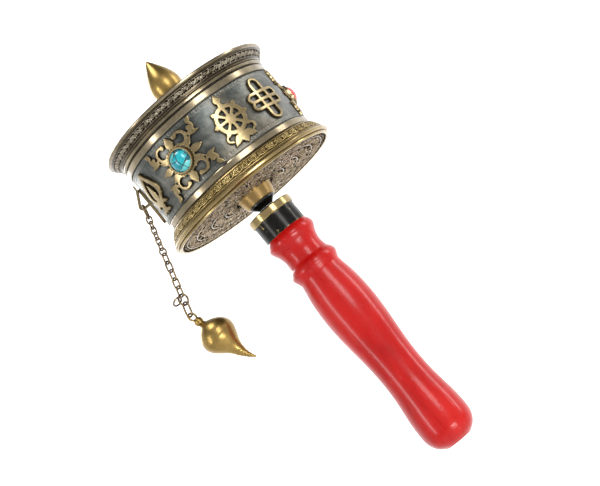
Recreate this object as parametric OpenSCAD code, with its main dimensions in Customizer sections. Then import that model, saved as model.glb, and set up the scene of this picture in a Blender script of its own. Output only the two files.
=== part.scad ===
// Hand-held prayer wheel: turned handle, spindle, drum with lid, scroll and a weighted chain.
// Millimetres. +Z runs up the spindle, the origin is the centre of the handle's butt face.

/* [Handle] */
// length of the wooden handle from butt to shoulder
handle_len = 109; // [90:1:130]
// thickest part of the grip
grip_d = 23.2; // [20:0.2:28]
// narrow waist of the grip
waist_d = 19.2; // [16:0.2:22]
// bulb at the butt
bulb_d = 23; // [19:0.2:28]
// turned beads under the ferrule
bead_d = 22; // [19:0.2:27]
// neck between the two beads
neck_d = 17.4; // [15:0.2:20]
// blind socket in the butt
socket_d = 6; // [4:0.2:7.6]
// depth of the butt socket
socket_depth = 12; // [6:0.5:20]
// tenon that carries the ferrule
tenon_d = 16.8; // [14:0.2:17.2]

/* [Ferrule] */
// outer diameter of the black ferrule tube
ferrule_d = 19.3; // [18.6:0.1:22]
// length of the ferrule tube
ferrule_h = 8.2; // [6:0.1:12]
// outer diameter of the brass cap ring
cap_d = 20.6; // [19:0.1:24]
// height of the brass cap ring
cap_h = 3.4; // [2.4:0.1:5]

/* [Spindle] */
// steel rod the drum turns on
rod_d = 4.8; // [4:0.1:5.4]
// threaded stud at the top of the rod
stud_d = 3.8; // [3:0.1:4]
// length of rod held in the handle
rod_grip = 55; // [30:1:70]

/* [Drum] */
// widest diameter, at the base rim and at the lid lip
rim_d = 80; // [70:1:94]
// outer diameter of the drum wall
wall_d = 70.8; // [62:0.2:76]
// sheet thickness of the drum wall
wall_t = 0.8; // [0.6:0.1:1.4]
// height of the drum wall between base rim and lid
wall_h = 31; // [27:0.5:42]
// plain polished bands above and below the field
band_h = 2.8; // [1.6:0.1:4]
// how far the bands stand out from the wall
band_out = 0.5; // [0.3:0.1:1]
// embossed flange of the base rim
flange_h = 4.8; // [3:0.1:7]
// thickness of the pierced base plate
plate_t = 1; // [0.8:0.1:2]
// brass collar under the base plate, at the plate
collar_d = 17.4; // [15:0.2:20]
// brass collar, at its lower end
collar_low_d = 13.8; // [12.6:0.2:16]
// height of the brass collar
collar_h = 5.6; // [4:0.1:9]
// nylon bearing bush inside the collar
bush_d = 11; // [9.6:0.1:12]
// tube the paper is wound on
core_d = 8; // [7.4:0.1:10]

/* [Lid] */
// height of the lid from its seat to the top of the lip
lid_h = 7.5; // [6:0.1:11]
// lower polished roll of the lid
roll_h = 1.9; // [1.2:0.1:3]
// thickness of the rolled lip
lip_h = 1.5; // [1:0.1:2.4]
// depth of the spigot that drops inside the wall
spigot_h = 2.7; // [2:0.1:5]

/* [Finial] */
// bud on top of the spindle
bud_d = 13.8; // [11:0.2:18]
// height of the bud
bud_h = 20; // [16:0.5:27]

/* [Ornament] */
// height of the applied ornaments above the wall
relief_t = 1.1; // [0.7:0.1:1.8]
// diameter of the round stones
stone_d = 9.2; // [7:0.1:11]
// how far a stone stands out of its bezel
stone_h = 2.9; // [1.5:0.1:3.2]
// rosette width over the field height
rosette_w = 27.6; // [23:0.2:30]
// rosette angle of the first stone, seen from the front
rosette_az = -22.3; // [-40:0.5:0]
// free wall between neighbouring ornaments
ornament_gap = 3; // [1.5:0.1:4]

/* [Chain] */
// angle of the stored chain from straight down
chain_lean = 16; // [8:1:40]
// wire of the fine links
fine_wire = 0.7; // [0.6:0.05:0.9]
// inside length of the fine links
fine_len = 2.7; // [2.5:0.1:3.4]
// wire of the long links
long_wire = 0.8; // [0.6:0.05:1]
// inside length of the long links
long_len = 4; // [3.6:0.1:5]
// wire of the round rings
ring_wire = 0.9; // [0.7:0.05:1]
// inside diameter of the jump ring on the lug
jump_d = 5.2; // [5:0.1:6.4]
// inside diameter of the first end ring
end_d = 3.8; // [3.6:0.1:5]
// inside length of the long loop that holds the weight
loop_len = 5.6; // [5:0.1:7]

/* [Weight] */
// pear body of the weight
pear_d = 15.8; // [12:0.1:20]
// length of the weight from ball to tail tip
pear_len = 29; // [24:0.5:36]
// weight swung inwards from straight down
pear_lean = 16; // [10:1:30]

/* [Fits] */
// running gap between turning parts
run_gap = 0.3; // [0.25:0.05:0.5]
// gap between parts that are fixed together
fit_gap = 0.05; // [0.02:0.01:0.1]

/* [Hidden] */
$fn = 64;
rim_r = rim_d / 2;
wall_r = wall_d / 2;
inner_r = wall_r - wall_t;
rod_r = rod_d / 2;
bore_r = rod_r + run_gap;
cap_top = handle_len + ferrule_h + cap_h;
washer_h = 1;
bush_z = cap_top + washer_h + 0.4;
dome_h = 2.8;
collar_z = bush_z + dome_h;
plate_z = collar_z + collar_h;
plate_top = plate_z + plate_t;
rim_z = plate_z - 1.3;
rim_top = rim_z + 3 + flange_h;
wall_top = rim_top + 0.3 + wall_h;
field_z0 = rim_top + 0.3 + band_h;
field_z1 = wall_top - 0.3 - band_h;
field_mid = (field_z0 + field_z1) / 2;
field_h = field_z1 - field_z0;
lid_z = wall_top + 0.1;
lid_top = lid_z + lid_h;
spigot_r = inner_r - run_gap;
scroll_r = spigot_r - 1.6;
lid_plate_z = lid_top - 2.4;
lid_boss_top = lid_top + 2;
core_top = lid_plate_z - 1.6;
finial_z = lid_boss_top + run_gap;
cup_h = 3;
bud_z = finial_z + cup_h;
stud_top = bud_z + bud_h * 0.5;
relief_r = wall_r + relief_t;
// drawing unit of the reliefs, and their widths
art_u = field_h / 25;
wheel_w = 16.2 * art_u;
knot_w = 15.6 * art_u;
flame_w = 12.4 * art_u;
wheel_az = rosette_az + turn_over(rosette_w / 2 + ornament_gap + wheel_w / 2);
knot_az = wheel_az + turn_over(wheel_w / 2 + ornament_gap + knot_w / 2);
flame_az = rosette_az - turn_over(rosette_w / 2 + ornament_gap + flame_w / 2);
// the lug stands at the left, on the -X side
lug_az = -90;
lug_plate_w = 6.4;
back_flame_az = (lug_az - turn_over(lug_plate_w / 2) + rosette_az - 120 + turn_over(rosette_w / 2)) / 2;
lug_w = 2.2;
lug_t = 1;
link_gap = 0.3;
// how far the jump ring's wire rides above the point it swings about
ring_rise = 1.25;
// centre of the jump ring's wire where it rests in the strap: outwards from the lug plate, and up
corner = [rim_r + 0.7 - relief_r - 1.5, 0];
ring_seat = [corner[0] - 0.6, 0.5];
corner_z = field_mid + 2.2;
hang = [-(relief_r + ring_seat[0] + ring_rise * sin(chain_lean)), 0,
  corner_z + ring_seat[1] - ring_rise * cos(chain_lean)];
long_w = 2;
fine_w = 1.5;

// ---- helpers ----

// one point of a smooth curve through four neighbours
function bend(a, b, c, d, t) = 0.5 * (2 * b + (c - a) * t + (2 * a - 5 * b + 4 * c - d) * t * t
  + (3 * b - a - 3 * c + d) * t * t * t);

// smooth [radius, height] curve through the given points
function smooth(p, n) = [for (i = [0 : len(p) - 2], k = [0 : n - 1])
  bend(p[max(i - 1, 0)], p[i], p[i + 1], p[min(i + 2, len(p) - 1)], k / n), p[len(p) - 1]];

function count(list) = len(list);

// degrees of the drum that a width covers on its wall
function turn_over(width) = width / wall_r * 180 / PI;

module lathe(points) { rotate_extrude($fn = 96) polygon(points); }

module tube(r1, r0, z0, z1) {
  translate([0, 0, z0]) difference() {
    cylinder(r = r1, h = z1 - z0, $fn = 96);
    translate([0, 0, -1]) cylinder(r = r0, h = z1 - z0 + 2, $fn = 96);
  }
}

// puts something drawn in the XY plane upright on the drum, facing outwards at angle az
module on_wall(az, z) { rotate([0, 0, az]) translate([0, 0, z]) rotate([90, 0, 0]) children(); }

// a flat drawing raised on the round wall
module applied(az, z, thick) {
  intersection() {
    on_wall(az, z) translate([0, 0, wall_r - 8]) linear_extrude(height = 12) children();
    tube(wall_r + thick, wall_r + 0.01, z - 20, z + 20);
  }
}

module slice(a0, a1, r) {
  polygon([[0, 0], for (k = [0 : 6]) r * 2 * [cos(a0 + (a1 - a0) * k / 6), sin(a0 + (a1 - a0) * k / 6)]]);
}

// part of a flat ring from angle a0 to a1
module bow(r, w, a0, a1) {
  intersection() {
    difference() { circle(r = r + w / 2); circle(r = r - w / 2); }
    slice(a0, a1, r + w);
  }
}

module bar(p, q, w) {
  d = q - p;
  n = [-d[1], d[0]] / norm(d) * w / 2;
  polygon([p + n, q + n, q - n, p - n]);
}

module leaf(p, len, w, a) {
  edge = smooth([[0, 0.3], [len * 0.22, w * 0.44], [len * 0.5, w * 0.47], [len * 0.8, w * 0.2], [len, 0]], 2);
  n = count(edge);
  translate(p) rotate(a) polygon([each edge, for (i = [n - 2 : -1 : 0]) [edge[i][0], -edge[i][1]]]);
}

module mirrored(v) { children(); mirror(v) children(); }

// ---- handle and spindle ----

function handle_curve() = let (h = handle_len, b = bulb_d / 2, w = waist_d / 2, g = grip_d / 2,
  d = bead_d / 2, n = neck_d / 2) [
  [b * 0.52, 0], [b * 0.74, 0.016 * h], [b * 0.895, 0.037 * h], [b * 0.985, 0.066 * h],
  [b, 0.103 * h], [b * 0.97, 0.16 * h], [w * 1.03, 0.26 * h], [w, 0.345 * h],
  [w * 1.045, 0.43 * h], [g * 0.965, 0.54 * h], [g, 0.632 * h], [g * 0.955, 0.72 * h],
  [g * 0.85, 0.788 * h], [g * 0.84, 0.803 * h], [d * 0.94, 0.818 * h], [d, 0.836 * h],
  [d * 0.94, 0.855 * h], [d * 0.84, 0.87 * h], [n, 0.903 * h], [d * 0.86, 0.935 * h],
  [d, 0.966 * h], [d * 0.97, 0.985 * h], [d * 0.88, h]];

module handle() {
  color([0.78, 0.07, 0.06]) difference() {
    lathe([[0, 0], each smooth(handle_curve(), 4), [tenon_d / 2, handle_len],
      [tenon_d / 2, handle_len + ferrule_h - fit_gap], [0, handle_len + ferrule_h - fit_gap]]);
    translate([0, 0, -1]) cylinder(d = socket_d, h = socket_depth + 1);
    translate([0, 0, handle_len + ferrule_h - rod_grip]) cylinder(r = rod_r + fit_gap, h = rod_grip + 1);
  }
}

module ferrule_tube() {
  color([0.08, 0.08, 0.08]) tube(ferrule_d / 2, tenon_d / 2 + fit_gap, handle_len, handle_len + ferrule_h);
}

module ferrule_cap() {
  r = cap_d / 2;
  b = rod_r + fit_gap;
  color([0.79, 0.66, 0.42]) lathe([[b, cap_top - cap_h], [r - 0.3, cap_top - cap_h], [r, cap_top - cap_h + 0.3],
    [r, cap_top - 0.4], [r - 0.4, cap_top], [b + 0.6, cap_top], [b, cap_top - 0.4]]);
}

module spindle() {
  bottom = handle_len + ferrule_h - rod_grip;
  color([0.32, 0.32, 0.33]) lathe([[0, bottom], [rod_r - 0.4, bottom], [rod_r, bottom + 0.4],
    [rod_r, lid_boss_top - 1], [stud_d / 2, lid_boss_top - 1], [stud_d / 2, stud_top - 0.6],
    [stud_d / 2 - 0.6, stud_top], [0, stud_top]]);
}

module thrust_washer() {
  color([0.1, 0.1, 0.1]) tube(rod_r + 1.4, rod_r + fit_gap, cap_top, cap_top + washer_h);
}

// ---- drum ----

module drum_shell() {
  color([0.36, 0.38, 0.38]) difference() {
    tube(wall_r, inner_r, plate_top, wall_top);
    for (z = [field_z0 + 0.35, field_z1 - 0.35]) tube(wall_r + 1, wall_r - 0.2, z - 0.12, z + 0.12);
  }
}

module band(z) {
  r = wall_r + band_out;
  color([0.62, 0.6, 0.52]) lathe([[wall_r, z], [r - 0.2, z], [r, z + 0.3], [r, z + band_h - 0.3],
    [r - 0.2, z + band_h], [wall_r, z + band_h]]);
}
module upper_band() { band(field_z1); }
module lower_band() { band(rim_top + 0.3); }

module base_rim() {
  seat = rim_r - 2.4;
  z = rim_z;
  s = rim_top - flange_h;
  color([0.72, 0.6, 0.34]) lathe([[seat, z + 0.2], [seat + 0.4, z], [rim_r - 1.5, z], [rim_r - 1.15, z + 0.25],
    [rim_r - 1.05, z + 0.7], [rim_r - 1.2, z + 1.1], [rim_r - 0.7, z + 1.2], [rim_r - 0.2, z + 1.45],
    [rim_r, z + 1.95], [rim_r - 0.15, z + 2.45], [rim_r - 0.6, z + 2.8], [rim_r - 1, s],
    [rim_r - 1.7, s + flange_h * 0.32], [rim_r - 2.6, s + flange_h * 0.66], [rim_r - 3.4, rim_top - 0.3],
    [rim_r - 3.7, rim_top], [wall_r + fit_gap, rim_top], [wall_r + fit_gap, plate_top], [seat, plate_top]]);
}

module base_plate() {
  color([0.72, 0.6, 0.5]) difference() {
    tube(rim_r - 2.4 - fit_gap, bush_d / 2 + fit_gap, plate_z, plate_top);
    for (k = [0 : 11]) rotate(k * 30) translate([rim_r * 0.34, 0, plate_z - 1]) cylinder(d = 3.2, h = plate_t + 2);
    for (k = [0 : 17]) rotate(k * 20 + 8) translate([rim_r * 0.53, 0, plate_z - 1]) cylinder(d = 3.6, h = plate_t + 2);
    for (k = [0 : 23]) rotate(k * 15) translate([rim_r * 0.72, 0, plate_z - 1]) cylinder(d = 3.2, h = plate_t + 2);
    for (k = [0 : 35]) rotate(k * 10 + 4) translate([rim_r * 0.85, 0, plate_z - 1]) cylinder(d = 1.9, h = plate_t + 2);
  }
}

module base_collar() {
  color([0.7, 0.52, 0.3]) lathe([[bush_d / 2 + fit_gap, collar_z], [collar_low_d / 2 - 0.3, collar_z],
    [collar_low_d / 2, collar_z + 0.3], [collar_d / 2 - 0.6, plate_z - 0.9], [collar_d / 2, plate_z],
    [bush_d / 2 + fit_gap, plate_z]]);
}

module bearing_bush() {
  r = bush_d / 2;
  color([0.06, 0.06, 0.06]) lathe([[bore_r, bush_z], [bore_r + 0.7, bush_z], [r * 0.78, bush_z + dome_h * 0.35],
    [r + 0.5, bush_z + dome_h * 0.8], [r + 0.6, collar_z], [r, collar_z], [r, plate_top], [bore_r, plate_top]]);
}

module core_tube() {
  color([0.7, 0.56, 0.3]) tube(core_d / 2, bore_r, plate_top, core_top);
}

module paper_scroll() {
  color([0.9, 0.84, 0.66]) tube(scroll_r, core_d / 2 + fit_gap, plate_top + fit_gap, lid_plate_z - 1.7);
}

module scroll_wrap() {
  color([0.85, 0.6, 0.12]) tube(inner_r - 0.3, scroll_r + fit_gap, plate_top + 2, lid_z - spigot_h - 0.4);
}

// ---- applied ornaments ----

// one quarter of the scrolled rosette, right and upper; u is a fourteenth of its half width
module rosette_quarter(u) {
  translate([5.2, 7] * u) { bow(2.6 * u, 1.2 * u, -150, 130); translate([-1.7, 2] * u) circle(r = u, $fn = 24); }
  translate([9.9, 8.1] * u) bow(2.2 * u, 1.1 * u, -190, 60);
  translate([10.4, 7.9] * u) circle(r = 0.95 * u, $fn = 24);
  leaf([11, 9.7] * u, 3.2 * u, 2 * u, 44);
  leaf([8.3, 6.3] * u, 5.4 * u, 2.2 * u, -14);
  leaf([5, 2.4] * u, 4.9 * u, 2.2 * u, 34);
}

module rosette_art() {
  u = rosette_w / 28;
  difference() {
    union() {
      circle(r = max(stone_d / 2 + 1.6, 6 * u));
      for (m = [0, 1], n = [0, 1]) mirror([m, 0]) mirror([0, n]) rosette_quarter(u);
      mirrored([0, 1]) leaf([0, 5.7 * u], 5.6 * u, 3.8 * u, 90);
      mirrored([1, 0]) leaf([5.5 * u, 0], 5.8 * u, 3.2 * u, 0);
    }
    circle(r = stone_d / 2 + 0.75 + fit_gap);
  }
}

module rosette(az) {
  color([0.66, 0.55, 0.33]) applied(az, field_mid, relief_t) rosette_art();
}
module rosette_1() { rosette(rosette_az); }
module rosette_2() { rosette(rosette_az + 120); }
module rosette_3() { rosette(rosette_az + 240); }

// round setting that holds a stone
module bezel(az) {
  r = stone_d / 2;
  color([0.5, 0.42, 0.26]) on_wall(az, field_mid) difference() {
    union() {
      translate([0, 0, wall_r - 0.6]) cylinder(r = r + 0.75, h = relief_t + 1);
      translate([0, 0, wall_r - 0.6]) cylinder(r = r + 0.45, h = relief_t + 1.7);
    }
    translate([0, 0, wall_r + relief_t - 0.6]) cylinder(r = r + fit_gap, h = 6);
    on_wall_core();
  }
}

// the wall itself, turned into the drawing frame of on_wall
module on_wall_core() {
  rotate([-90, 0, 0]) cylinder(r = wall_r + fit_gap, h = 60, center = true, $fn = 360);
}

module stone(az, tint) {
  r = stone_d / 2;
  base = wall_r + relief_t - 0.6;
  color(tint) on_wall(az, field_mid) intersection() {
    translate([0, 0, base]) cylinder(r = r, h = stone_h + 2);
    translate([0, 0, base + 1.2 + stone_h - stone_ball()]) sphere(r = stone_ball(), $fn = 96);
  }
}

// radius of the ball a stone is cut from
function stone_ball() = (pow(stone_d / 2, 2) + pow(stone_h, 2)) / (2 * stone_h);

module bezel_1() { bezel(rosette_az); }
module bezel_2() { bezel(rosette_az + 120); }
module bezel_3() { bezel(rosette_az + 240); }
module stone_1() { stone(rosette_az, [0.1, 0.7, 0.72]); }
module stone_2() { stone(rosette_az + 120, [0.8, 0.1, 0.1]); }
module stone_3() { stone(rosette_az + 240, [0.8, 0.1, 0.1]); }

// eight-spoked wheel on a lotus foot, with a jewel over it
module wheel_art() {
  u = art_u;
  difference() { circle(r = 6.6 * u); circle(r = 4.8 * u); }
  circle(r = 2.2 * u);
  for (k = [0 : 7]) rotate(k * 45) {
    bar([1.8 * u, 0], [5.4 * u, 0], 1.3 * u);
    leaf([6.2 * u, 0], 1.9 * u, 2 * u, 0);
  }
  leaf([0, 7.2 * u], 4.4 * u, 3.2 * u, 90);
  leaf([0, -7.2 * u], 4.4 * u, 3.8 * u, -90);
  mirrored([1, 0]) leaf([0.8 * u, -7 * u], 5.8 * u, 3 * u, -36);
  mirrored([1, 0]) translate([5, -6.6] * u) bow(1.5 * u, u, -100, 120);
}

// lattice knot of thin bars and loops
module knot_art() {
  u = art_u;
  h = 9.4 * u;
  for (x = [-2.6, 2.6]) bar([x * u, -h + 2.2 * u], [x * u, h - 2.2 * u], 1.3 * u);
  for (z = [-3.4, 0, 3.4]) bar([-6.4 * u, z * u], [6.4 * u, z * u], 1.3 * u);
  mirrored([0, 1]) translate([0, h - 2.7 * u]) bow(2.6 * u, 1.1 * u, 0, 180);
  mirrored([1, 0]) mirrored([0, 1]) translate([6.1, 1.7] * u) bow(1.7 * u, 1.1 * u, -80, 80);
}

// flaming jewel: open pointed ring round a leaf, on a small scroll
module flame_art() {
  u = art_u;
  difference() { leaf([0, -6 * u], 16 * u, 12.4 * u, 90); leaf([0, -4.4 * u], 11.6 * u, 8.4 * u, 90); }
  leaf([0, -5 * u], 9.6 * u, 3.6 * u, 90);
  mirrored([1, 0]) translate([2.7, -7] * u) bow(2 * u, 1.4 * u, 20, 290);
  leaf([0, -6 * u], 4 * u, 2.6 * u, -90);
}

module relief_1() { color([0.74, 0.66, 0.46]) applied(wheel_az, field_mid, relief_t) wheel_art(); }
module relief_2() { color([0.74, 0.66, 0.46]) applied(knot_az, field_mid, relief_t) knot_art(); }
module relief_3() { color([0.74, 0.66, 0.46]) applied(wheel_az + 120, field_mid, relief_t) wheel_art(); }
module relief_4() { color([0.74, 0.66, 0.46]) applied(knot_az + 120, field_mid, relief_t) knot_art(); }
module relief_5() { color([0.74, 0.66, 0.46]) applied(flame_az, field_mid, relief_t) flame_art(); }
module relief_6() { color([0.74, 0.66, 0.46]) applied(back_flame_az, field_mid, relief_t) flame_art(); }

// ---- lug that carries the chain ----

module lug_plate() {
  color([0.62, 0.5, 0.28]) applied(lug_az, field_mid, relief_t) {
    square([lug_plate_w, field_h * 0.46], center = true);
    mirrored([0, 1]) translate([0, field_h * 0.23]) circle(r = lug_plate_w / 2);
  }
}

// bent strap with its opening across the drum, so the jump ring can hang in the corner
module lug_strap() {
  arc = (lug_t + 1) / 2;
  color([0.62, 0.5, 0.28]) translate([-relief_r, 0, corner_z]) rotate([90, 0, 180])
    translate([0, 0, -lug_w / 2]) linear_extrude(height = lug_w) difference() {
      union() {
        translate(corner) bow(arc, lug_t, -92, 28);
        bar([-0.5, 8.2], corner + arc * [cos(25), sin(25)], lug_t);
        bar([-0.5, -arc], corner + [0.1, -arc], lug_t);
        translate([-1, 6.4]) square([1.7, 2.6]);
      }
      translate([-5, -5]) square([5, 20]);
    }
}

// ---- lid and finial ----

module lid_rim() {
  z = lid_z;
  cove = lid_h - roll_h - lip_h;
  c0 = z + roll_h;
  c1 = lid_top - lip_h;
  color([0.5, 0.48, 0.42]) lathe([[spigot_r, z - spigot_h], [spigot_r, z], [wall_r + 0.2, z],
    [wall_r + 0.7, z + 0.25], [wall_r + 0.95, z + 0.8], [wall_r + 0.85, z + 1.3], [wall_r + 0.6, c0 - 0.1],
    [wall_r + 0.85, c0], [wall_r + 1.1, c0 + cove * 0.15], [wall_r + 1.7, c0 + cove * 0.45],
    [rim_r - 2, c0 + cove * 0.75], [rim_r - 0.9, c1 - 0.15], [rim_r - 0.35, c1], [rim_r, c1 + lip_h * 0.3],
    [rim_r, c1 + lip_h * 0.65], [rim_r - 0.4, lid_top - 0.15], [rim_r - 1.1, lid_top], [rim_r - 1.8, lid_top - 0.3],
    [rim_r - 2.2, lid_plate_z + 1.2], [rim_r - 2.2, lid_plate_z], [spigot_r - 1.3, lid_plate_z],
    [spigot_r - 1.3, z - spigot_h]]);
}

module lid_plate() {
  r = rim_r - 2.2 - fit_gap;
  z = lid_plate_z;
  color([0.48, 0.46, 0.4]) lathe([[5.5 + fit_gap, z], [r, z], [r, z + 1.2], [r * 0.86, z + 1.25], [r * 0.84, z + 1.9],
    [r * 0.8, z + 2.1], [r * 0.56, z + 2.5], [r * 0.54, z + 3.1], [r * 0.49, z + 3.2], [r * 0.3, z + 3.6],
    [5.5 + fit_gap, z + 3.8]]);
}

module lid_bush() {
  z = lid_plate_z;
  color([0.68, 0.55, 0.3]) lathe([[bore_r, z - 1.2], [7, z - 1.2], [7, z], [5.5, z], [5.5, z + 3.8], [6.6, z + 3.8],
    [6.6, z + 4.1], [5.8, lid_boss_top], [bore_r, lid_boss_top]]);
}

module finial_cup() {
  b = stud_d / 2 + run_gap;
  z = finial_z;
  color([0.62, 0.5, 0.28]) lathe([[b, z], [5.4, z], [5.8, z + 0.4], [5.4, z + 0.9], [4, z + 1.4], [4, z + 1.9],
    [4.6, z + 2.4], [4.8, bud_z], [b, bud_z]]);
}

module finial_bud() {
  r = bud_d / 2;
  h = bud_h;
  z = bud_z;
  color([0.66, 0.52, 0.26]) difference() {
    lathe([[0, z], each smooth([[r * 0.5, z], [r * 0.74, z + h * 0.05], [r * 0.92, z + h * 0.15],
      [r, z + h * 0.29], [r * 0.97, z + h * 0.4], [r * 0.85, z + h * 0.53], [r * 0.65, z + h * 0.67],
      [r * 0.42, z + h * 0.8], [r * 0.2, z + h * 0.92], [0.05, z + h]], 3), [0, z + h]]);
    translate([0, 0, z - 1]) cylinder(d = stud_d + 2 * run_gap, h = stud_top - z + 1.5);
  }
}

// ---- chain ----

// pivot to pivot length of a link or ring
jump_s = (jump_d + ring_wire) / 2 - ring_rise;
jump_step = jump_s + (jump_d - link_gap) / 2;
fine_step = fine_len - link_gap;
mid_len = 2.6;
mid_step = mid_len - link_gap;
long_step = long_len - link_gap;
end_step = end_d - link_gap;
loop_w = 2.8;
loop_step = loop_len - link_gap;
fine_s = jump_step;
mid_s = fine_s + 6 * fine_step;
long_s = mid_s + mid_step;
end_s = long_s + 5 * long_step;
weight_s = end_s + end_step + loop_step;

// places something a distance s down the stored chain, turned about it
module along_chain(s, turn) {
  translate(hang) rotate([0, chain_lean, 0]) translate([0, 0, -s]) rotate([0, 0, turn]) children();
}

// closed loop of round wire, standing in the XZ plane, centred
module loop(len, wide, wire) {
  rm = (wide + wire) / 2;
  h = (len - wide) / 2;
  for (s = [1, -1]) {
    translate([0, 0, s * h]) rotate([s * 90, 0, 0]) rotate_extrude(angle = 180, $fn = 48)
      translate([rm, 0]) circle(d = wire, $fn = 24);
    if (h > 0) translate([s * rm, 0, -h]) cylinder(d = wire, h = 2 * h, $fn = 24);
  }
}

module jump_ring() {
  color([0.6, 0.5, 0.3]) along_chain(jump_s, 90) loop(jump_d, jump_d, ring_wire);
}

// the first links turn step by step into the diagonal the rest of the chain hangs in
fine_turn = [20, -55, 40, -48, 45, -45];
module fine_link(i) {
  color([0.6, 0.5, 0.3]) along_chain(fine_s + (i - 0.5) * fine_step, fine_turn[i - 1])
    loop(fine_len, fine_w, fine_wire);
}
module fine_link_1() { fine_link(1); }
module fine_link_2() { fine_link(2); }
module fine_link_3() { fine_link(3); }
module fine_link_4() { fine_link(4); }
module fine_link_5() { fine_link(5); }
module fine_link_6() { fine_link(6); }

module mid_ring() {
  color([0.6, 0.5, 0.3]) along_chain(mid_s + mid_step / 2, 45) loop(mid_len, mid_len, fine_wire);
}

module long_link(i) {
  color([0.72, 0.64, 0.46]) along_chain(long_s + (i - 0.5) * long_step, i % 2 == 0 ? 45 : -45)
    loop(long_len, long_w, long_wire);
}
module long_link_1() { long_link(1); }
module long_link_2() { long_link(2); }
module long_link_3() { long_link(3); }
module long_link_4() { long_link(4); }
module long_link_5() { long_link(5); }

module end_ring() {
  color([0.6, 0.5, 0.3]) along_chain(end_s + end_step / 2, 45) loop(end_d, end_d, ring_wire);
}
module end_loop() {
  color([0.6, 0.5, 0.3]) along_chain(end_s + end_step + loop_step / 2, -45) loop(loop_len, loop_w, ring_wire);
}

// spare ring hooked on the outer side of the first end ring
side_d = 3.2;
side_off = end_d / 2 - link_gap + side_d / 2;
module side_ring() {
  color([0.6, 0.5, 0.3]) along_chain(end_s + end_step / 2, 45) translate([-side_off, 0, 0])
    rotate([48, 0, 0]) loop(side_d, side_d, 0.8);
}

// ---- weight ----

eye_d = 2.7;
eye_z = (0.5 - eye_d) / 2;

module at_weight() {
  translate(hang) rotate([0, chain_lean, 0]) translate([0, 0, -weight_s])
    rotate([0, -chain_lean - pear_lean, 0]) children();
}

module weight_eye() {
  color([0.66, 0.52, 0.26]) at_weight() translate([0, 0, eye_z]) rotate([0, 0, 45])
    loop(eye_d, eye_d, 0.9);
}

module weight() {
  k = pear_d / 15.8;
  ball = -eye_d - 1.7;
  top = ball - 1.4;
  body = pear_len * 0.6;
  color([0.66, 0.52, 0.26]) at_weight() {
    difference() {
      translate([0, 0, ball]) sphere(r = 2);
      translate([0, 0, eye_z]) rotate([90, 0, 45])
        cylinder(r = eye_d / 2 + 0.9 + fit_gap, h = 0.9 + 2 * fit_gap, center = true);
    }
    translate([0, 0, top]) rotate([180, 0, 0])
      lathe([[0, 0], each smooth([[1.3, 0], [2.1 * k, body * 0.05], [4.9 * k, body * 0.16], [7 * k, body * 0.3],
        [7.9 * k, body * 0.46], [7.3 * k, body * 0.62], [5.6 * k, body * 0.78], [4 * k, body * 0.9],
        [3 * k, body]], 3), [0, body]]);
    translate([0, 0, top - body]) tail(0, (pear_len - body - 3) / tail_steps, k);
  }
}

// tapered tail that curls sideways, in short straight steps
tail_steps = 6;
tail_r = [3, 2.35, 1.85, 1.45, 1.1, 0.75, 0.4];
module tail(i, step, k) {
  if (i < tail_steps) translate([0, 0, -step]) {
    cylinder(r1 = tail_r[i + 1] * k, r2 = tail_r[i] * k, h = step);
    sphere(r = tail_r[i + 1] * k * 1.03, $fn = 48);
    rotate([0, -4.5, 0]) tail(i + 1, step, k);
  }
}

handle();
ferrule_tube();
ferrule_cap();
spindle();
thrust_washer();
drum_shell();
upper_band();
lower_band();
base_rim();
base_plate();
base_collar();
bearing_bush();
core_tube();
paper_scroll();
scroll_wrap();
rosette_1();
rosette_2();
rosette_3();
bezel_1();
bezel_2();
bezel_3();
stone_1();
stone_2();
stone_3();
relief_1();
relief_2();
relief_3();
relief_4();
relief_5();
relief_6();
lug_plate();
lug_strap();
lid_rim();
lid_plate();
lid_bush();
finial_cup();
finial_bud();
jump_ring();
fine_link_1();
fine_link_2();
fine_link_3();
fine_link_4();
fine_link_5();
fine_link_6();
mid_ring();
long_link_1();
long_link_2();
long_link_3();
long_link_4();
long_link_5();
end_ring();
end_loop();
side_ring();
weight_eye();
weight();
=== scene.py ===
import math

import bpy
import numpy as np
from mathutils import Matrix, Vector


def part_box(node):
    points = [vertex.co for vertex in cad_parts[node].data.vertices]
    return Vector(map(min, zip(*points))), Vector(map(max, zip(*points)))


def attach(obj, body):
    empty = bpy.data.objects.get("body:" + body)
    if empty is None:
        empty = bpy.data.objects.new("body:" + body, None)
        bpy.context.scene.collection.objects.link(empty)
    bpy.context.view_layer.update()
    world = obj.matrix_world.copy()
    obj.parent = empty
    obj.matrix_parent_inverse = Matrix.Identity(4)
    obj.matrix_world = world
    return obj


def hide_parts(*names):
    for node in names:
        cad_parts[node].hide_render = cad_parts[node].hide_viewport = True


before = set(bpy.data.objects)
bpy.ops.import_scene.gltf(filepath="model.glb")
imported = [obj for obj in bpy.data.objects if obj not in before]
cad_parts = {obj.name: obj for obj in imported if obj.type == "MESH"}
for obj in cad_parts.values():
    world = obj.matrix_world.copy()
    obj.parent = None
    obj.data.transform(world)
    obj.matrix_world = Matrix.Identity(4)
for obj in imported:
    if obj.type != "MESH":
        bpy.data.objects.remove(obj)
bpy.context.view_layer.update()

MM = 0.001
RING_BEADS = 30
CAST_GRAIN = 0.15  # voxel of a casting, in millimetres
CAST_KEPT = 0.5  # share of its faces kept
CAMERA_PLACE = (0, -0.560, 0.043)
CAMERA_TURN = (5.99, -39.7, 0.12)  # pitch, roll and yaw in degrees
LIGHTS_AIM = (0, 0, 0.13)

# ---- sizes, taken from the frame, in millimetres ----


def low(node, axis=2):
    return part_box(node)[0][axis] / MM


def high(node, axis=2):
    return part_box(node)[1][axis] / MM


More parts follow.
